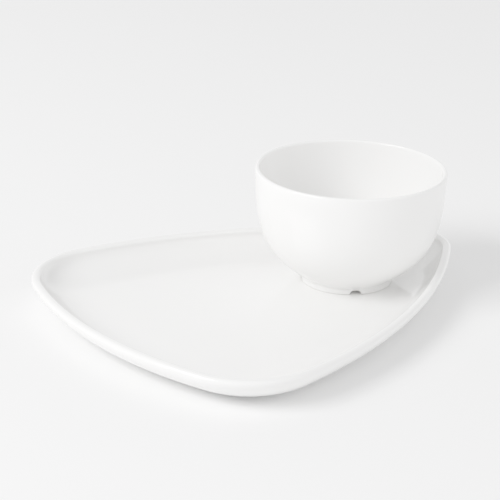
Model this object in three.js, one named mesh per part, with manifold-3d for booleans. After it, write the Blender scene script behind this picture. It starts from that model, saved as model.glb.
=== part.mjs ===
// Chip and dip server: a rounded-triangle porcelain plate with a porcelain dip bowl standing at its narrow end.
// Millimetres, +Z up. The origin is on the table under the middle of the plate, and +X points to the
// plate's narrow end, the tip. The bowl stands loose on the plate's flat floor.

import * as THREE from 'three';
import { mergeVertices } from 'three/addons/utils/BufferGeometryUtils.js';
import Module from 'manifold-3d';

// Plate, seen from above
const PLATE_LENGTH = 301; // along X, tip to broad side
const PLATE_WIDTH = 251; // across the two broad corners
const TIP_RADIUS = 32;
const CORNER_RADIUS = 56;
const SIDE_RADIUS = 380; // the two long sides bow out gently
const BASE_RADIUS = 269; // so does the broad side

// Plate, in section
const PLATE_HEIGHT = 22;
const LIP_THICKNESS = 6.2;
const LIP_CROWN = 2.3; // how far the lip's rounded top rises above its widest level
const FLOOR_HEIGHT = 7; // table to the top of the flat floor
const FLOOR_INSET = 44; // from the plate's edge to its flat floor, at the broad side and corners
const FLOOR_TIP_X = 65; // centre of the floor outline's tip arc, wide enough for the bowl's foot
const FLOOR_TIP_RADIUS = 34.5;
const COVE_SQUARENESS = 2; // section of the cove: 2 is an ellipse, more is fuller in its bend
const PLATE_FOOT_INSET = 33; // from the plate's edge to its foot ring
const PLATE_FOOT_TIP_X = 80;
const PLATE_FOOT_TIP_RADIUS = 13;
const PLATE_FOOT_WIDTH = 5;
const PLATE_FOOT_TOP = 1.5; // where the underside reaches the foot ring
const UNDERSIDE_SQUARENESS = 1.77; // a little flatter than an ellipse
const PLATE_RECESS = 2.5; // hollow inside the foot ring
const PLATE_FOOT_EDGE = 0.6; // bevel on both edges of the foot ring

// Bowl
const BOWL_RADIUS = 65; // outside, at the rim
const BOWL_HEIGHT = 80;
const RIM_THICKNESS = 3; // fully rounded
const BOWL_FOOT_RADIUS = 32;
const BOWL_FOOT_WIDTH = 4.5;
const BOWL_FOOT_HEIGHT = 4.3; // where the side leaves the foot ring
const BOWL_FOOT_EDGE = 1; // bevel on both edges of the foot ring
const BOWL_RECESS = 1.5; // hollow inside the foot ring
const BOWL_FLOOR = 7.5; // inside bottom, above the foot
const SIDE_START_SLOPE = THREE.MathUtils.degToRad(35.6); // the side leaves the foot at this rise
const SIDE_START_REACH = 29; // how far that rise carries before the side turns up
const SIDE_END_REACH = 49; // length of nearly upright side under the rim
const SIDE_FLARE = 0.5; // the upright side leans out this much
const INNER_REACH = 56; // the same reach on the inside
const INNER_FLOOR_REACH = 40; // how far the inside bottom stays nearly flat

// Drain notches through the bowl's foot ring
const NOTCH_COUNT = 4;
const NOTCH_WIDTH = 8;
const NOTCH_HEIGHT = 3.8; // on the ring's outside, as half an ellipse; the roof slopes down to the recess

// Where the bowl stands on the plate
const BOWL_X = 64.3;
const BOWL_Y = 1.7;
const BOWL_TURN = THREE.MathUtils.degToRad(59.5);

// Steps of the faceted surfaces
const OUTLINE_STEPS = { tip: 6, side: 14, corner: 14, base: 7 }; // along half the outline
const PLATE_SECTION_STEPS = { cove: 9, lip: 6, under: 8 };
const BOWL_ROUND_STEPS = 72;
const BOWL_SECTION_STEPS = { side: 12, rim: 6, inside: 13 };
const NOTCH_TOP_STEPS = 10;

const wasm = await Module();
wasm.setup();

const point = (x, y) => new THREE.Vector2(x, y);

// The point at distance fromA from a and fromB from b, on the right of the way from b to a.
function meetingPoint(a, fromA, b, fromB) {
  const way = b.clone().sub(a);
  const gap = way.length();
  way.divideScalar(gap);
  const along = (fromA ** 2 - fromB ** 2 + gap ** 2) / (2 * gap);
  const aside = Math.sqrt(fromA ** 2 - along ** 2);
  return point(a.x + way.x * along - way.y * aside, a.y + way.y * along + way.x * aside);
}

// A rounded triangle, symmetric about X, as six arcs that run into each other without a kink:
// the tip, a side, a corner, the base, and the other corner and side. It runs anticlockwise from the tip.
function roundedTriangle({ tipX, tipRadius, cornerX, cornerY, cornerRadius, sideRadius, baseRadius }) {
  const tip = point(tipX, 0);
  const corner = point(cornerX, cornerY);
  const side = meetingPoint(tip, sideRadius - tipRadius, corner, sideRadius - cornerRadius);
  const base = point(cornerX + Math.sqrt((baseRadius - cornerRadius) ** 2 - cornerY ** 2), 0);
  const tipEnd = tip.clone().sub(side).angle();
  const sideEnd = corner.clone().sub(side).angle();
  const cornerEnd = corner.clone().sub(base).angle();
  const arcs = [
    [tip, tipRadius, 0, tipEnd, OUTLINE_STEPS.tip],
    [side, sideRadius, tipEnd, sideEnd, OUTLINE_STEPS.side],
    [corner, cornerRadius, sideEnd, cornerEnd, OUTLINE_STEPS.corner],
    [base, baseRadius, cornerEnd, Math.PI, OUTLINE_STEPS.base],
  ];
  const half = [];
  for (const [centre, radius, from, to, steps] of arcs) {
    for (let i = 0; i < steps; i++) {
      const angle = from + ((to - from) * i) / steps;
      half.push(point(centre.x + radius * Math.cos(angle), centre.y + radius * Math.sin(angle)));
    }
  }
  half.push(point(base.x - baseRadius, 0));
  const mirrored = half.slice(1, -1).map((p) => point(p.x, -p.y));
  return [...half, ...mirrored.reverse()];
}

// The same triangle drawn in by a distance all the way round.
function drawnIn(triangle, distance) {
  return {
    ...triangle,
    tipRadius: triangle.tipRadius - distance,
    cornerRadius: triangle.cornerRadius - distance,
    sideRadius: triangle.sideRadius - distance,
    baseRadius: triangle.baseRadius - distance,
  };
}

function circle(radius) {
  const points = [];
  for (let i = 0; i < BOWL_ROUND_STEPS; i++) {
    const angle = (2 * Math.PI * i) / BOWL_ROUND_STEPS;
    points.push(point(radius * Math.cos(angle), radius * Math.sin(angle)));
  }
  return points;
}

// Between two outlines with matching points: 0 gives the first, 1 the second.
function between(first, second, share) {
  return first.map((p, i) => p.clone().lerp(second[i], share));
}

// A quarter of a superellipse: share 0 is its upright end and share 1 its level end.
function quarterBend(share, squareness) {
  const angle = (Math.PI / 2) * share;
  const power = 2 / squareness;
  return { across: Math.abs(Math.cos(angle)) ** power, down: Math.sin(angle) ** power };
}

// A closed body skinned over level rings. The first ring is closed by a flat face seen from above
// and the last by one seen from below; in between, each ring is joined to the next.
function skin(rings) {
  const count = rings[0].outline.length;
  const positions = rings.flatMap(({ outline, z }) => outline.flatMap((p) => [p.x, p.y, z]));
  const index = [];
  for (let ring = 0; ring < rings.length - 1; ring++) {
    for (let i = 0; i < count; i++) {
      const a = ring * count + i;
      const b = ring * count + ((i + 1) % count);
      index.push(a, a + count, b, b, a + count, b + count);
    }
  }
  const closeWithFan = (ring, up) => {
    const middle = rings[ring].outline.reduce((sum, p) => sum.add(p), point(0, 0)).divideScalar(count);
    const centre = positions.length / 3;
    positions.push(middle.x, middle.y, rings[ring].z);
    for (let i = 0; i < count; i++) {
      const a = ring * count + i;
      const b = ring * count + ((i + 1) % count);
      index.push(centre, up ? a : b, up ? b : a);
    }
  };
  closeWithFan(0, true);
  closeWithFan(rings.length - 1, false);
  const geometry = new THREE.BufferGeometry();
  geometry.setAttribute('position', new THREE.Float32BufferAttribute(positions, 3));
  geometry.setIndex(index);
  return geometry;
}

function solidOf(geometry) {
  const bare = geometry.clone();
  bare.deleteAttribute('normal');
  bare.deleteAttribute('uv');
  const merged = mergeVertices(bare);
  return new wasm.Manifold(new wasm.Mesh({
    numProp: 3,
    vertProperties: new Float32Array(merged.attributes.position.array),
    triVerts: new Uint32Array(merged.index.array),
  }));
}

function geometryOf(solid) {
  const { vertProperties, triVerts } = solid.getMesh();
  const geometry = new THREE.BufferGeometry();
  geometry.setAttribute('position', new THREE.BufferAttribute(vertProperties, 3));
  geometry.setIndex(new THREE.BufferAttribute(triVerts, 1));
  return geometry;
}

function plateGeometry() {
  const baseX = BASE_RADIUS - PLATE_LENGTH / 2;
  const cornerY = PLATE_WIDTH / 2 - CORNER_RADIUS;
  const edge = {
    tipX: PLATE_LENGTH / 2 - TIP_RADIUS,
    tipRadius: TIP_RADIUS,
    cornerX: baseX - Math.sqrt((BASE_RADIUS - CORNER_RADIUS) ** 2 - cornerY ** 2),
    cornerY,
    cornerRadius: CORNER_RADIUS,
    sideRadius: SIDE_RADIUS,
    baseRadius: BASE_RADIUS,
  };
  const floor = {
    ...drawnIn(edge, FLOOR_INSET),
    tipX: FLOOR_TIP_X,
    tipRadius: FLOOR_TIP_RADIUS,
  };
  const foot = {
    ...drawnIn(edge, PLATE_FOOT_INSET),
    tipX: PLATE_FOOT_TIP_X,
    tipRadius: PLATE_FOOT_TIP_RADIUS,
  };
  const lipZ = PLATE_HEIGHT - LIP_CROWN;
  const rings = [];
  const addRing = (outline, z) => rings.push({ outline, z });

  // The cove rises from the floor to the lip.
  const floorOutline = roundedTriangle(floor);
  const lipInside = roundedTriangle(drawnIn(edge, LIP_THICKNESS));
  for (let i = 0; i < PLATE_SECTION_STEPS.cove; i++) {
    const bend = quarterBend(1 - i / PLATE_SECTION_STEPS.cove, COVE_SQUARENESS);
    addRing(between(floorOutline, lipInside, bend.across), lipZ - (lipZ - FLOOR_HEIGHT) * bend.down);
  }
  // The lip turns over in half an ellipse.
  for (let i = 0; i < PLATE_SECTION_STEPS.lip; i++) {
    const angle = (Math.PI * i) / PLATE_SECTION_STEPS.lip;
    const inset = (LIP_THICKNESS / 2) * (1 + Math.cos(angle));
    addRing(roundedTriangle(drawnIn(edge, inset)), lipZ + LIP_CROWN * Math.sin(angle));
  }
  // The underside falls back to the foot ring.
  const edgeOutline = roundedTriangle(edge);
  const footOutline = roundedTriangle(foot);
  for (let i = 0; i <= PLATE_SECTION_STEPS.under; i++) {
    const bend = quarterBend(i / PLATE_SECTION_STEPS.under, UNDERSIDE_SQUARENESS);
    addRing(between(footOutline, edgeOutline, bend.across), lipZ - (lipZ - PLATE_FOOT_TOP) * bend.down);
  }
  // The foot ring, then the flat recess inside it.
  addRing(footOutline, PLATE_FOOT_EDGE);
  addRing(roundedTriangle(drawnIn(foot, PLATE_FOOT_EDGE)), 0);
  addRing(roundedTriangle(drawnIn(foot, PLATE_FOOT_WIDTH - PLATE_FOOT_EDGE)), 0);
  addRing(roundedTriangle(drawnIn(foot, PLATE_FOOT_WIDTH)), PLATE_FOOT_EDGE);
  addRing(roundedTriangle(drawnIn(foot, PLATE_FOOT_WIDTH)), PLATE_RECESS);
  return skin(rings);
}

// The bowl's section as points (radius, height): inside bottom, inside wall, rim, outside wall, foot, recess.
function bowlSection() {
  const rimRadius = RIM_THICKNESS / 2;
  const rimZ = BOWL_HEIGHT - rimRadius;
  const insideRadius = BOWL_RADIUS - RIM_THICKNESS;
  const inside = new THREE.CubicBezierCurve(
    point(0, BOWL_FLOOR),
    point(INNER_FLOOR_REACH, BOWL_FLOOR),
    point(insideRadius - SIDE_FLARE, rimZ - INNER_REACH),
    point(insideRadius, rimZ),
  );
  const rim = new THREE.EllipseCurve(BOWL_RADIUS - rimRadius, rimZ, rimRadius, rimRadius, Math.PI, 0, true);
  const startX = BOWL_FOOT_RADIUS + SIDE_START_REACH * Math.cos(SIDE_START_SLOPE);
  const startZ = BOWL_FOOT_HEIGHT + SIDE_START_REACH * Math.sin(SIDE_START_SLOPE);
  const outside = new THREE.CubicBezierCurve(
    point(BOWL_RADIUS, rimZ),
    point(BOWL_RADIUS - SIDE_FLARE, rimZ - SIDE_END_REACH),
    point(startX, startZ),
    point(BOWL_FOOT_RADIUS, BOWL_FOOT_HEIGHT),
  );
  const footInside = BOWL_FOOT_RADIUS - BOWL_FOOT_WIDTH;
  return [
    ...inside.getSpacedPoints(BOWL_SECTION_STEPS.inside).slice(1, -1),
    ...rim.getPoints(BOWL_SECTION_STEPS.rim).slice(0, -1),
    ...outside.getSpacedPoints(BOWL_SECTION_STEPS.side),
    point(BOWL_FOOT_RADIUS, BOWL_FOOT_EDGE),
    point(BOWL_FOOT_RADIUS - BOWL_FOOT_EDGE, 0),
    point(footInside + BOWL_FOOT_EDGE, 0),
    point(footInside, BOWL_FOOT_EDGE),
    point(footInside, BOWL_RECESS),
  ];
}

// A round-topped bar that lies along X, across one side of the foot ring and below it. Its roof slopes from
// the notch's full height on the ring's outside down to the recess on the ring's inside.
function notchCutter() {
  const half = NOTCH_WIDTH / 2;
  const clear = 2; // the bar starts below the foot and runs past both faces of the ring
  const arch = new THREE.Shape();
  arch.moveTo(-half, -clear);
  arch.lineTo(half, -clear);
  arch.lineTo(half, 0);
  arch.absellipse(0, 0, half, NOTCH_HEIGHT, 0, Math.PI, false);
  arch.closePath();
  const bar = new THREE.ExtrudeGeometry(arch, {
    depth: BOWL_FOOT_WIDTH + 2 * clear,
    bevelEnabled: false,
    curveSegments: NOTCH_TOP_STEPS,
  });
  bar.rotateX(Math.PI / 2);
  bar.rotateZ(Math.PI / 2);
  bar.translate(BOWL_FOOT_RADIUS - BOWL_FOOT_WIDTH - clear, 0, 0);
  const place = bar.attributes.position;
  for (let i = 0; i < place.count; i++) {
    if (place.getZ(i) > 0) {
      const across = (BOWL_FOOT_RADIUS - place.getX(i)) / BOWL_FOOT_WIDTH;
      const roof = THREE.MathUtils.lerp(NOTCH_HEIGHT, BOWL_RECESS, across);
      place.setZ(i, (place.getZ(i) * roof) / NOTCH_HEIGHT);
    }
  }
  return bar;
}

function bowlGeometry() {
  const rings = bowlSection().map((p) => ({ outline: circle(p.x), z: p.y }));
  let bowl = solidOf(skin(rings));
  for (let i = 0; i < NOTCH_COUNT; i++) {
    const cutter = notchCutter().rotateZ((2 * Math.PI * i) / NOTCH_COUNT);
    bowl = bowl.subtract(solidOf(cutter));
  }
  return geometryOf(bowl);
}

function porcelain(colour) {
  return new THREE.MeshStandardMaterial({ color: colour, roughness: 0.12, metalness: 0 });
}

function plate() {
  const mesh = new THREE.Mesh(plateGeometry(), porcelain(0xf1f0ee));
  mesh.name = 'plate';
  return mesh;
}

function bowl() {
  const mesh = new THREE.Mesh(bowlGeometry(), porcelain(0xf2f1ee));
  mesh.name = 'bowl';
  mesh.position.set(BOWL_X, BOWL_Y, FLOOR_HEIGHT);
  mesh.rotation.z = BOWL_TURN;
  return mesh;
}

const server = new THREE.Group();
server.add(plate(), bowl());

export default server;
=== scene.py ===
"""Chip and dip server: a rounded-triangle porcelain plate with a round dip bowl standing at its narrow end.

Both pieces are skinned again, finely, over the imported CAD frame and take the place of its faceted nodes.
Metres, +Z up; +X points to the plate's narrow end, the tip."""

import math

import bpy
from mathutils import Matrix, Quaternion, Vector


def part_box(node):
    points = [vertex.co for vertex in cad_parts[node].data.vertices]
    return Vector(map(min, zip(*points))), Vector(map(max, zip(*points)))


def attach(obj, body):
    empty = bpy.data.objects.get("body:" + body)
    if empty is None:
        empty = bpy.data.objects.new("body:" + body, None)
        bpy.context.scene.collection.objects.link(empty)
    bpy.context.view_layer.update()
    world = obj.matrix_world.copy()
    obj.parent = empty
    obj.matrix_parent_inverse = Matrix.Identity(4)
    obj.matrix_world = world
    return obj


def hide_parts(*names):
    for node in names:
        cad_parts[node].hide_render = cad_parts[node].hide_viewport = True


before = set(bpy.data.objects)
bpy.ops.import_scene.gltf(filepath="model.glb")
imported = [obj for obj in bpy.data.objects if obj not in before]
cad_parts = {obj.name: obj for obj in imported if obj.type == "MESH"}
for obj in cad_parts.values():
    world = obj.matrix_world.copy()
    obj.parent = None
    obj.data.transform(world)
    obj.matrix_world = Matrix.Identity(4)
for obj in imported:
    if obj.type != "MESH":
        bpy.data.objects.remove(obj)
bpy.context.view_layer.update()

MM = 0.001
PLATE_LOW, PLATE_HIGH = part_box("plate")
BOWL_LOW, BOWL_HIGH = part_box("bowl")

# Plate, seen from above
PLATE_LENGTH = PLATE_HIGH.x - PLATE_LOW.x  # tip to broad side
PLATE_WIDTH = PLATE_HIGH.y - PLATE_LOW.y  # across the two broad corners
TIP_RADIUS = 32 * MM
CORNER_RADIUS = 56 * MM
SIDE_RADIUS = 380 * MM  # the two long sides bow out gently
BASE_RADIUS = 269 * MM  # so does the broad side

# Plate, in section
PLATE_HEIGHT = PLATE_HIGH.z
LIP_THICKNESS = 6.2 * MM
LIP_CROWN = 2.3 * MM  # how far the lip's rounded top rises above its widest level
FLOOR_HEIGHT = BOWL_LOW.z  # the bowl stands on the plate's flat floor
FLOOR_INSET = 44 * MM  # from the plate's edge to its flat floor, at the broad side and corners
FLOOR_TIP_X = 65 * MM  # centre of the floor outline's tip arc
FLOOR_TIP_RADIUS = 34.5 * MM
COVE_SQUARENESS = 2  # section of the cove: 2 is an ellipse, more is fuller in its bend
PLATE_FOOT_INSET = 33 * MM  # from the plate's edge to its foot ring
PLATE_FOOT_TIP_X = 80 * MM
PLATE_FOOT_TIP_RADIUS = 13 * MM
PLATE_FOOT_WIDTH = 5 * MM
PLATE_FOOT_TOP = 1.5 * MM  # where the underside reaches the foot ring
UNDERSIDE_SQUARENESS = 1.77  # a little flatter than an ellipse
PLATE_RECESS = 2.5 * MM  # hollow inside the foot ring
PLATE_FOOT_ROUND = 0.6 * MM  # radius of both edges of the foot ring

# Bowl
BOWL_CENTRE = (BOWL_LOW + BOWL_HIGH) / 2
BOWL_RADIUS = 65 * MM  # outside, at the rim
BOWL_HEIGHT = BOWL_HIGH.z - BOWL_LOW.z
RIM_THICKNESS = 3 * MM  # fully rounded
BOWL_FOOT_RADIUS = 32 * MM
BOWL_FOOT_WIDTH = 4.5 * MM
BOWL_FOOT_HEIGHT = 4.3 * MM  # where the side leaves the foot ring
BOWL_FOOT_ROUND = 1 * MM  # radius of both edges of the foot ring
BOWL_RECESS = 1.5 * MM  # hollow inside the foot ring
BOWL_FLOOR = 7.5 * MM  # inside bottom, above the foot
SIDE_START_SLOPE = math.radians(35.6)  # the side leaves the foot at this rise
SIDE_START_REACH = 29 * MM  # how far that rise carries before the side turns up
SIDE_END_REACH = 49 * MM  # length of nearly upright side under the rim
SIDE_FLARE = 0.5 * MM  # the upright side leans out this much
INNER_REACH = 56 * MM  # the same reach on the inside
INNER_FLOOR_REACH = 40 * MM  # how far the inside bottom stays nearly flat

# Drain notches in the bowl's foot ring
NOTCH_COUNT = 4
NOTCH_WIDTH = 8 * MM
NOTCH_HEIGHT = 3.8 * MM  # on the ring's outside; the roof slopes down to the recess
BOWL_TURN = math.radians(59.5)  # how far the bowl, and so its first notch, is turned from +X

# Steps of the fine surfaces
OUTLINE_STEPS = (24, 60, 60, 30)  # tip, side, corner and half the base
BOWL_ROUND_STEPS = 512
CURVE_STEPS = 40
ROUND_STEPS = 14  # over the plate's lip and the bowl's rim
EDGE_STEPS = 6  # over one rounded edge of a foot ring
CAP_RINGS = 12  # from the middle of a closing face out to its edge


# ---- outlines -------------------------------------------------------------------------------------------

def meeting_point(a, from_a, b, from_b):
    """The point at distance from_a from a and from_b from b, on the right of the way from b to a."""
    way = b - a
    gap = way.length
    way /= gap
    along = (from_a**2 - from_b**2 + gap**2) / (2 * gap)
    aside = math.sqrt(from_a**2 - along**2)
    return a + way * along + Vector((-way.y, way.x)) * aside


def angle_of(way):
    return math.atan2(way.y, way.x)


def rounded_triangle(shape):
    """Six arcs that run into each other without a kink: tip, side, corner, base, corner, side."""
    tip = Vector((shape["tip_x"], 0))
    corner = Vector((shape["corner_x"], shape["corner_y"]))
    side_radius, base_radius = shape["side_radius"], shape["base_radius"]
    tip_radius, corner_radius = shape["tip_radius"], shape["corner_radius"]
    side = meeting_point(tip, side_radius - tip_radius, corner, side_radius - corner_radius)
    base_x = corner.x + math.sqrt((base_radius - corner_radius) ** 2 - corner.y**2)
    base = Vector((base_x, 0))
    turns = [0, angle_of(tip - side), angle_of(corner - side), angle_of(corner - base), math.pi]
    arcs = [(tip, tip_radius), (side, side_radius), (corner, corner_radius), (base, base_radius)]
    half = []
    for (centre, radius), start, end, steps in zip(arcs, turns, turns[1:], OUTLINE_STEPS):
        for i in range(steps):
            angle = start + (end - start) * i / steps
            half.append(centre + radius * Vector((math.cos(angle), math.sin(angle))))
    half.append(base - Vector((base_radius, 0)))
    mirrored = [Vector((p.x, -p.y)) for p in reversed(half[1:-1])]
    return half + mirrored


def drawn_in(shape, distance):
    """The same triangle, drawn in by a distance all the way round."""
    radii = ("tip_radius", "corner_radius", "side_radius", "base_radius")
    return {**shape, **{name: shape[name] - distance for name in radii}}


def between(first, second, share):
    return [p.lerp(q, share) for p, q in zip(first, second)]


def at_height(outline, z):
    return [Vector((p.x, p.y, z)) for p in outline]


# ---- meshes ---------------------------------------------------------------------------------------------

GLAZED, BARE = 0, 1  # material slots of a piece


def skin(name, rings, bare_rings, ring_shades):
    """A closed mesh over a list of rings of 3-D points, from the upper face round to the lower one.
    bare_rings are the steps between rings that stay unglazed; the last argument holds each ring's share of
    painted shade, 0 to 1."""
    count = len(rings[0])
    top_middle = sum(rings[0], Vector()) / count
    bottom_middle = sum(rings[-1], Vector()) / count
    shares = [i / CAP_RINGS for i in range(1, CAP_RINGS)]
    top_cap = [[top_middle.lerp(p, share) for p in rings[0]] for share in shares]
    bottom_cap = [[bottom_middle.lerp(p, share) for p in rings[-1]] for share in reversed(shares)]
    full = top_cap + rings + bottom_cap
    shade_amount = [ring_shades[0]] * len(top_cap) + ring_shades + [ring_shades[-1]] * len(bottom_cap)
    vertices = [top_middle] + [p for ring in full for p in ring] + [bottom_middle]
    vertex_shades = [ring_shades[0]] + [d for d in shade_amount for _ in range(count)] + [ring_shades[-1]]
    faces, materials = [], []
    last = len(vertices) - 1
    for i in range(count):
        faces.append((0, 1 + i, 1 + (i + 1) % count))
        materials.append(GLAZED)
    for ring in range(len(full) - 1):
        start = 1 + ring * count
        slot = BARE if ring - len(top_cap) in bare_rings else GLAZED
        for i in range(count):
            a, b = start + i, start + (i + 1) % count
            faces.append((a, a + count, b + count, b))
            materials.append(slot)
    start = last - count
    for i in range(count):
        faces.append((last, start + (i + 1) % count, start + i))
        materials.append(GLAZED)
    mesh = bpy.data.meshes.new(name)
    mesh.from_pydata(vertices, [], faces)
    mesh.polygons.foreach_set("material_index", materials)
    mesh.polygons.foreach_set("use_smooth", [True] * len(faces))
    # Painted shade: each vertex's share of the darker, warmer glaze colour.
    attribute = mesh.attributes.new("painted_shade", "FLOAT", "POINT")
    attribute.data.foreach_set("value", vertex_shades)
    mesh.validate()
    piece = bpy.data.objects.new(name, mesh)
    bpy.context.scene.collection.objects.link(piece)
    return piece


def quarter_bend(share, squareness):
    """How far across and down a quarter of a superellipse is: share 0 is upright, share 1 is level."""
    angle = math.pi / 2 * share
    power = 2 / squareness
    return abs(math.cos(angle)) ** power, math.sin(angle) ** power


def plate_rings():
    """The plate's rings with the unglazed steps and each ring's share of painted shade: none on the lip, full
    on the floor and the foot ring.
    """
    corner_y = PLATE_WIDTH / 2 - CORNER_RADIUS
    base_x = BASE_RADIUS - PLATE_LENGTH / 2
    edge = {
        "tip_x": PLATE_LENGTH / 2 - TIP_RADIUS,
        "tip_radius": TIP_RADIUS,
        "corner_x": base_x - math.sqrt((BASE_RADIUS - CORNER_RADIUS) ** 2 - corner_y**2),
        "corner_y": corner_y,
        "corner_radius": CORNER_RADIUS,
        "side_radius": SIDE_RADIUS,
        "base_radius": BASE_RADIUS,
    }
    floor = {**drawn_in(edge, FLOOR_INSET), "tip_x": FLOOR_TIP_X, "tip_radius": FLOOR_TIP_RADIUS}
    foot_inset = drawn_in(edge, PLATE_FOOT_INSET)
    foot = {**foot_inset, "tip_x": PLATE_FOOT_TIP_X, "tip_radius": PLATE_FOOT_TIP_RADIUS}
    lip_z = PLATE_HEIGHT - LIP_CROWN
    rings, ring_shades = [], []

    def add(outline, z, shade_amount):
        rings.append(at_height(outline, z))
        ring_shades.append(shade_amount)

    # The cove rises from the floor to the lip.
    floor_outline = rounded_triangle(floor)
    lip_inside = rounded_triangle(drawn_in(edge, LIP_THICKNESS))
    # Painted shade fades from full on the floor to none at the lip.
    for i in range(CURVE_STEPS):
        share = 1 - i / CURVE_STEPS
        across, down = quarter_bend(share, COVE_SQUARENESS)
        add(between(floor_outline, lip_inside, across), lip_z - (lip_z - FLOOR_HEIGHT) * down, share)
    # The lip turns over in half an ellipse.
    for i in range(ROUND_STEPS):
        angle = math.pi * i / ROUND_STEPS
        outline = rounded_triangle(drawn_in(edge, LIP_THICKNESS / 2 * (1 + math.cos(angle))))
        add(outline, lip_z + LIP_CROWN * math.sin(angle), 0)
    # The underside falls back to the foot ring.
    edge_outline = rounded_triangle(edge)
    foot_outline = rounded_triangle(foot)
    # Painted shade grows from none at the edge to full at the foot ring.
    for i in range(CURVE_STEPS + 1):
        share = i / CURVE_STEPS
        across, down = quarter_bend(share, UNDERSIDE_SQUARENESS)
        add(between(foot_outline, edge_outline, across), lip_z - (lip_z - PLATE_FOOT_TOP) * down, share)
    # The foot ring, then the flat recess inside it.
    foot_start = len(rings)
    for inset, z in foot_section(PLATE_FOOT_WIDTH, PLATE_FOOT_TOP, PLATE_RECESS, PLATE_FOOT_ROUND):
        add(rounded_triangle(drawn_in(foot, inset)), z, 1)
    return rings, bare_steps(foot_start, len(rings)), ring_shades


def foot_section(width, outer_height, inner_height, edge):
    """The foot ring's section as (inset, height): down its outside, over its rounded edges, up its inside."""
    points = [(0, (outer_height + edge) / 2)]
    for i in range(EDGE_STEPS + 1):
        angle = math.pi / 2 * i / EDGE_STEPS
        points.append((edge * (1 - math.cos(angle)), edge * (1 - math.sin(angle))))
    points += [(width - inset, z) for inset, z in reversed(points[1:])]
    points.append((width, (inner_height + edge) / 2))
    points.append((width, inner_height))
    return points


def bare_steps(first, count):
    """The steps over the foot ring's lower face, which the glaze stops short of, halfway round its edges.
    first is the ring at which the foot's section starts, and count is how many rings the piece has."""
    glazed_steps = 1 + EDGE_STEPS // 2
    return range(first + glazed_steps, count - 2 - glazed_steps)


def bezier(a, b, c, d):
    """The curve's points from a up to, not including, d."""
    points = []
    for i in range(CURVE_STEPS):
        t = i / CURVE_STEPS
        s = 1 - t
        points.append(a * s**3 + b * (3 * s * s * t) + c * (3 * s * t * t) + d * t**3)
    return points


def notch_height(angle, radius):
    """How high the drain notch's roof is at this place on the foot ring, or 0 where there is no notch."""
    pitch = 2 * math.pi / NOTCH_COUNT
    off = (angle + pitch / 2) % pitch - pitch / 2
    across = abs(radius * math.sin(off)) / (NOTCH_WIDTH / 2)
    if across >= 1:
        return 0
    inwards = (BOWL_FOOT_RADIUS - radius) / BOWL_FOOT_WIDTH
    return (NOTCH_HEIGHT + (BOWL_RECESS - NOTCH_HEIGHT) * inwards) * math.sqrt(1 - across**2)


def bowl_section():
    """The bowl's section as (radius, height, share of painted shade), from its inside bottom over the rim and
    down to the recess under it, and the number of the first point of the foot ring."""
    rim_radius = RIM_THICKNESS / 2
    rim_z = BOWL_HEIGHT - rim_radius
    inside_radius = BOWL_RADIUS - RIM_THICKNESS
    inside = bezier(
        Vector((0, BOWL_FLOOR)),
        Vector((INNER_FLOOR_REACH, BOWL_FLOOR)),
        Vector((inside_radius - SIDE_FLARE, rim_z - INNER_REACH)),
        Vector((inside_radius, rim_z)),
    )
    rise = Vector((math.cos(SIDE_START_SLOPE), math.sin(SIDE_START_SLOPE))) * SIDE_START_REACH
    foot_top = Vector((BOWL_FOOT_RADIUS, BOWL_FOOT_HEIGHT))
    outside = bezier(
        Vector((BOWL_RADIUS, rim_z)),
        Vector((BOWL_RADIUS - SIDE_FLARE, rim_z - SIDE_END_REACH)),
        foot_top + rise,
        foot_top,
    )
    # Painted shade: full at the inside bottom, none on the rim, full again down at the foot.
    section = [(p.x, p.y, 1 - i / CURVE_STEPS) for i, p in enumerate(inside)][1:]
    for i in range(ROUND_STEPS):
        angle = math.pi * (1 - i / ROUND_STEPS)
        across = BOWL_RADIUS - rim_radius + rim_radius * math.cos(angle)
        section.append((across, rim_z + rim_radius * math.sin(angle), 0))
    section += [(p.x, p.y, i / CURVE_STEPS) for i, p in enumerate(outside)]
    section.append((*foot_top, 1))
    foot_start = len(section)
    for inset, z in foot_section(BOWL_FOOT_WIDTH, BOWL_FOOT_HEIGHT, BOWL_RECESS, BOWL_FOOT_ROUND):
        section.append((BOWL_FOOT_RADIUS - inset, z, 1))
    return section, foot_start


def bowl_rings():
    """The bowl's rings with the unglazed steps and each ring's share of painted shade. At a drain notch the
    foot ring is squashed upwards, so that its lower face becomes the notch's roof."""
    section, foot_start = bowl_section()
    foot_middle = BOWL_FOOT_RADIUS - BOWL_FOOT_WIDTH / 2
    rings = []
    for i, (radius, z, _) in enumerate(section):
        foot_top_z = BOWL_FOOT_HEIGHT if radius > foot_middle else BOWL_RECESS
        ring = []
        for step in range(BOWL_ROUND_STEPS):
            angle = 2 * math.pi * step / BOWL_ROUND_STEPS
            lifted = z
            if i >= foot_start:
                roof = min(notch_height(angle, radius), foot_top_z)
                lifted = roof + z * (1 - roof / foot_top_z)
            turned = angle + BOWL_TURN
            x = BOWL_CENTRE.x + radius * math.cos(turned)
            y = BOWL_CENTRE.y + radius * math.sin(turned)
            ring.append(Vector((x, y, BOWL_LOW.z + lifted)))
        rings.append(ring)
    return rings, bare_steps(foot_start, len(section)), [shade_amount for _, _, shade_amount in section]


# ---- materials ------------------------------------------------------------------------------------------

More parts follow.
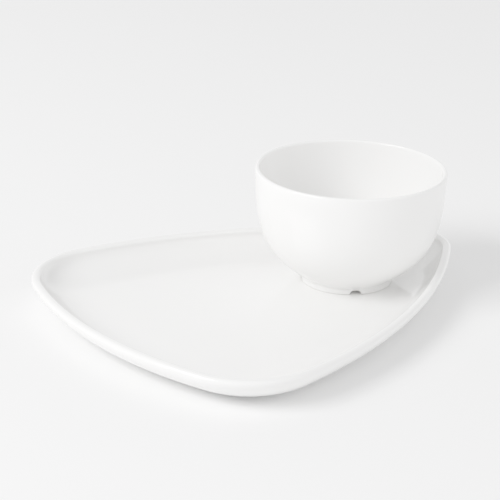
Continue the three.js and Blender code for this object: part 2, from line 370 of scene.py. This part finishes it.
# Glaze colours. The darker, warmer ones are both the other end of the random clouds and painted shade, leant
# towards on the floors, the bowl's inside bottom and under the feet.
PLATE_PALE_GLAZE = (0.902, 0.900, 0.895)  # the paler colour: one end of the random clouds, and the colour on the lip, which has the least painted shade
PLATE_CLOUD_AND_SHADE_GLAZE = (0.890, 0.886, 0.874)
BOWL_PALE_GLAZE = (0.902, 0.899, 0.893)
BOWL_CLOUD_AND_SHADE_GLAZE = (0.890, 0.885, 0.871)
BARE_DARK = (0.78, 0.76, 0.72)
BARE_LIGHT = (0.86, 0.84, 0.80)
GLAZE_IOR = 1.5
GLAZE_ROUGHNESS = (0.015, 0.035)
BARE_ROUGHNESS = (0.6, 0.8)
NOISE_MIDDLE = (0.3, 0.7)  # the part of a noise's range that most of its values fall in
GRAIN_RANGE = (0.2, 0.8)  # wider, so that the roughness of the bare faces varies less
SHADE_SHARES = (0.25, 0.75)  # how far the colour leans to the darker, warmer colour as painted shade: least on a lip, most at the bottom

# Scales of the noises: how many of their features fit in a metre
CLOUDS = 14
WAVES = 45
GLOSS_SPOTS = 60
PORES = 900
GRAINS = 1800

WAVE_DEPTH = 0.6 * MM
PORE_DEPTH = 0.1 * MM
GRAIN_DEPTH = 0.15 * MM
WAVE_STRENGTH = 0.25
PORE_STRENGTH = 0.06
GRAIN_STRENGTH = 0.4


class Nodes:
    """A material's node tree, with one line for each node."""

    def __init__(self, name):
        self.material = bpy.data.materials.new(name)
        self.material.use_nodes = True
        self.tree = self.material.node_tree
        self.shader = self.tree.nodes["Principled BSDF"]

    def add(self, kind, settings=None, **inputs):
        node = self.tree.nodes.new(kind)
        for name, value in (settings or {}).items():
            setattr(node, name, value)
        for name, value in inputs.items():
            self.put(node.inputs[name.replace("_", " ")], value)
        return node

    def put(self, socket, value):
        if isinstance(value, bpy.types.NodeSocket):
            self.tree.links.new(value, socket)
        else:
            socket.default_value = value

    def noise(self, scale, detail, roughness=0.5):
        place = self.add("ShaderNodeTexCoord").outputs["Object"]
        node = self.add("ShaderNodeTexNoise", Vector=place, Scale=scale, Detail=detail, Roughness=roughness)
        return node.outputs["Fac"]

    def spread(self, value, old_range, new_range):
        """The value, moved from the old range to the new one."""
        node = self.add("ShaderNodeMapRange", Value=value)
        for name, number in zip(("From Min", "From Max", "To Min", "To Max"), (*old_range, *new_range)):
            node.inputs[name].default_value = number
        return node.outputs["Result"]

    def mix(self, share, first, second):
        """Two colours mixed. The Mix node's sockets are asked for by number, because each of the kinds
        of value that it mixes has sockets of the same names."""
        node = self.add("ShaderNodeMix", {"data_type": "RGBA"})
        share_socket, first_socket, second_socket, result_socket = 0, 6, 7, 2
        self.put(node.inputs[share_socket], share)
        self.put(node.inputs[first_socket], first)
        self.put(node.inputs[second_socket], second)
        return node.outputs[result_socket]

    def bump(self, height, strength, distance, normal=None):
        node = self.add("ShaderNodeBump", Strength=strength, Distance=distance, Height=height)
        if normal is not None:
            self.put(node.inputs["Normal"], normal)
        return node.outputs["Normal"]


def glazed(name, pale_colour, cloud_and_shade_colour):
    """White porcelain under a clear glaze: a little darker and warmer towards the bottoms and under the foot,
    which is painted shade, cloudy in tone at random, faintly uneven in gloss, and with the slow waves of a
    fired surface."""
    nodes = Nodes(name)
    shade_amount = nodes.add("ShaderNodeAttribute", {"attribute_name": "painted_shade"}).outputs["Fac"]
    clouds = nodes.noise(CLOUDS, detail=3)
    cloudy = nodes.mix(nodes.spread(clouds, NOISE_MIDDLE, (0, 1)), (*pale_colour, 1), (*cloud_and_shade_colour, 1))
    # Painted shade: the colour leans to the darker, warmer end by each vertex's shade share, most at the
    # bottoms and under the foot.
    colour = nodes.mix(nodes.spread(shade_amount, (0, 1), SHADE_SHARES), cloudy, (*cloud_and_shade_colour, 1))
    nodes.put(nodes.shader.inputs["Base Color"], colour)
    gloss = nodes.spread(nodes.noise(GLOSS_SPOTS, detail=4), NOISE_MIDDLE, GLAZE_ROUGHNESS)
    nodes.put(nodes.shader.inputs["Roughness"], gloss)
    nodes.shader.inputs["IOR"].default_value = GLAZE_IOR
    waves = nodes.bump(nodes.noise(WAVES, detail=1), WAVE_STRENGTH, WAVE_DEPTH)
    pores = nodes.bump(nodes.noise(PORES, detail=1), PORE_STRENGTH, PORE_DEPTH, waves)
    nodes.put(nodes.shader.inputs["Normal"], pores)
    return nodes.material


def bare_porcelain(name):
    """Fired porcelain with no glaze, on the faces that stood on the kiln shelf."""
    nodes = Nodes(name)
    grain = nodes.noise(GRAINS, detail=5, roughness=0.7)
    colour = nodes.mix(nodes.spread(grain, NOISE_MIDDLE, (0, 1)), (*BARE_DARK, 1), (*BARE_LIGHT, 1))
    nodes.put(nodes.shader.inputs["Base Color"], colour)
    nodes.put(nodes.shader.inputs["Roughness"], nodes.spread(grain, GRAIN_RANGE, BARE_ROUGHNESS))
    nodes.put(nodes.shader.inputs["Normal"], nodes.bump(grain, GRAIN_STRENGTH, GRAIN_DEPTH))
    return nodes.material


# ---- the two pieces -------------------------------------------------------------------------------------

def make_piece(name, rings, bare, ring_shades, materials, node):
    piece = skin(name, rings, bare, ring_shades)
    for material in materials:
        piece.data.materials.append(material)
    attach(piece, node)
    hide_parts(node)


def make_server():
    bare = bare_porcelain("bare_porcelain")
    plate_glaze = glazed("plate_glaze", PLATE_PALE_GLAZE, PLATE_CLOUD_AND_SHADE_GLAZE)
    bowl_glaze = glazed("bowl_glaze", BOWL_PALE_GLAZE, BOWL_CLOUD_AND_SHADE_GLAZE)
    make_piece("serving_plate", *plate_rings(), (plate_glaze, bare), "plate")
    make_piece("dip_bowl", *bowl_rings(), (bowl_glaze, bare), "bowl")


# ---- camera, floor and light ----------------------------------------------------------------------------

CAMERA_AZIMUTH = math.radians(-39.47)
CAMERA_ELEVATION = math.radians(21.0)
CAMERA_ROLL = math.radians(1.34)
CAMERA_DISTANCE = 1.3155
CAMERA_TARGET = Vector((0.0533, 0.1019, 0))
CAMERA_LENS = 129.73  # in the camera's own millimetres, as the sensor's width
SENSOR_WIDTH = 36
CAMERA_SHIFT = (0.0149, -0.0038)
FLOOR_SIZE = 12.0
FLOOR_COLOUR = (0.95, 0.95, 0.95)
FLOOR_ROUGHNESS = 0.8
LIGHT_DISTANCE = 3.0
KEY_AZIMUTH = math.radians(-100)
KEY_ELEVATION = math.radians(37.5)
KEY_SIZE = (1.8, 1.2)  # width and height
KEY_RADIANCE = 7.8  # W per square metre and steradian
ROOM_LEVEL = 0.8  # brightness of the white walls at eye level
ROOM_SLOPE = (0.34, -0.05, -0.22)  # how it grows towards +X, +Y and straight up
DARK_AZIMUTH = math.radians(99)  # middle of the darker part, high up on the +X side
DARK_ELEVATION = math.radians(58)
DARK_REACH = math.radians(40)  # from its middle to the middle of its soft edge
DARK_EDGE = math.radians(8)  # half the width of that edge
DARK_SHARE = 0.42  # its brightness next to the rest of the room
VIEW_GAMMA = 2.1  # a soft tone curve, which lifts the shadows and flattens the contrast


def direction(azimuth, elevation):
    """From the object towards a place seen at this azimuth and elevation; azimuth 0 is on the -Y side."""
    level = math.cos(elevation)
    return Vector((math.sin(azimuth) * level, -math.cos(azimuth) * level, math.sin(elevation)))


def make_camera():
    back = direction(CAMERA_AZIMUTH, CAMERA_ELEVATION)
    camera = bpy.data.objects.new("camera", bpy.data.cameras.new("camera"))
    bpy.context.scene.collection.objects.link(camera)
    camera.data.sensor_width = SENSOR_WIDTH
    camera.data.lens = CAMERA_LENS
    camera.data.shift_x, camera.data.shift_y = CAMERA_SHIFT
    camera.location = CAMERA_TARGET + back * CAMERA_DISTANCE
    camera.rotation_mode = "QUATERNION"
    roll = Quaternion((0, 0, 1), CAMERA_ROLL)
    camera.rotation_quaternion = (-back).to_track_quat("-Z", "Y") @ roll
    bpy.context.scene.camera = camera


def make_floor():
    mesh = bpy.data.meshes.new("floor")
    half = FLOOR_SIZE / 2
    corners = [(-half, -half, 0), (half, -half, 0), (half, half, 0), (-half, half, 0)]
    mesh.from_pydata(corners, [], [(0, 1, 2, 3)])
    floor = bpy.data.objects.new("floor", mesh)
    bpy.context.scene.collection.objects.link(floor)
    nodes = Nodes("floor_white")
    nodes.shader.inputs["Base Color"].default_value = (*FLOOR_COLOUR, 1)
    nodes.shader.inputs["Roughness"].default_value = FLOOR_ROUGHNESS
    floor.data.materials.append(nodes.material)


def make_softbox():
    """The key light: a level rectangular softbox that faces the object."""
    width, height = KEY_SIZE
    light = bpy.data.lights.new("key", "AREA")
    light.shape = "RECTANGLE"
    light.size = width
    light.size_y = height
    light.energy = KEY_RADIANCE * math.pi * width * height  # the power that gives this radiance
    lamp = bpy.data.objects.new("key", light)
    bpy.context.scene.collection.objects.link(lamp)
    towards = direction(KEY_AZIMUTH, KEY_ELEVATION)
    lamp.location = towards * LIGHT_DISTANCE
    lamp.rotation_mode = "QUATERNION"
    lamp.rotation_quaternion = (-towards).to_track_quat("-Z", "Y")
    lamp.visible_camera = False


def calculated(tree, operation, first, second):
    """Two values added, multiplied or compared; the second is a socket or a number."""
    node = tree.nodes.new("ShaderNodeMath")
    node.operation = operation
    tree.links.new(first, node.inputs[0])
    if isinstance(second, bpy.types.NodeSocket):
        tree.links.new(second, node.inputs[1])
    else:
        node.inputs[1].default_value = second
    return node.outputs[0]


def dot(tree, first, second):
    """The dot product of a socket and a fixed vector."""
    node = tree.nodes.new("ShaderNodeVectorMath")
    node.operation = "DOT_PRODUCT"
    tree.links.new(first, node.inputs[0])
    node.inputs[1].default_value = second
    return node.outputs["Value"]


def make_room():
    """White walls around the object: a little lighter low down and on the +X side, and darker in one round
    part high up."""
    world = bpy.data.worlds.new("studio")
    world.use_nodes = True
    tree = world.node_tree
    towards = tree.nodes.new("ShaderNodeTexCoord").outputs["Generated"]
    level = calculated(tree, "ADD", dot(tree, towards, ROOM_SLOPE), ROOM_LEVEL)
    lit = calculated(tree, "MAXIMUM", level, 0)
    shade = tree.nodes.new("ShaderNodeMapRange")
    shade.interpolation_type = "SMOOTHSTEP"
    shade.inputs["From Min"].default_value = math.cos(DARK_REACH + DARK_EDGE)
    shade.inputs["From Max"].default_value = math.cos(DARK_REACH - DARK_EDGE)
    shade.inputs["To Min"].default_value = 1
    shade.inputs["To Max"].default_value = DARK_SHARE
    tree.links.new(dot(tree, towards, direction(DARK_AZIMUTH, DARK_ELEVATION)), shade.inputs["Value"])
    background = tree.nodes["Background"]
    background.inputs["Color"].default_value = (1, 1, 1, 1)
    strength = calculated(tree, "MULTIPLY", lit, shade.outputs["Result"])
    tree.links.new(strength, background.inputs["Strength"])
    bpy.context.scene.world = world


def set_view():
    view = bpy.context.scene.view_settings
    view.view_transform = "Standard"
    view.look = "None"
    view.gamma = VIEW_GAMMA


make_camera()
make_server()
make_floor()
make_room()
make_softbox()
set_view()
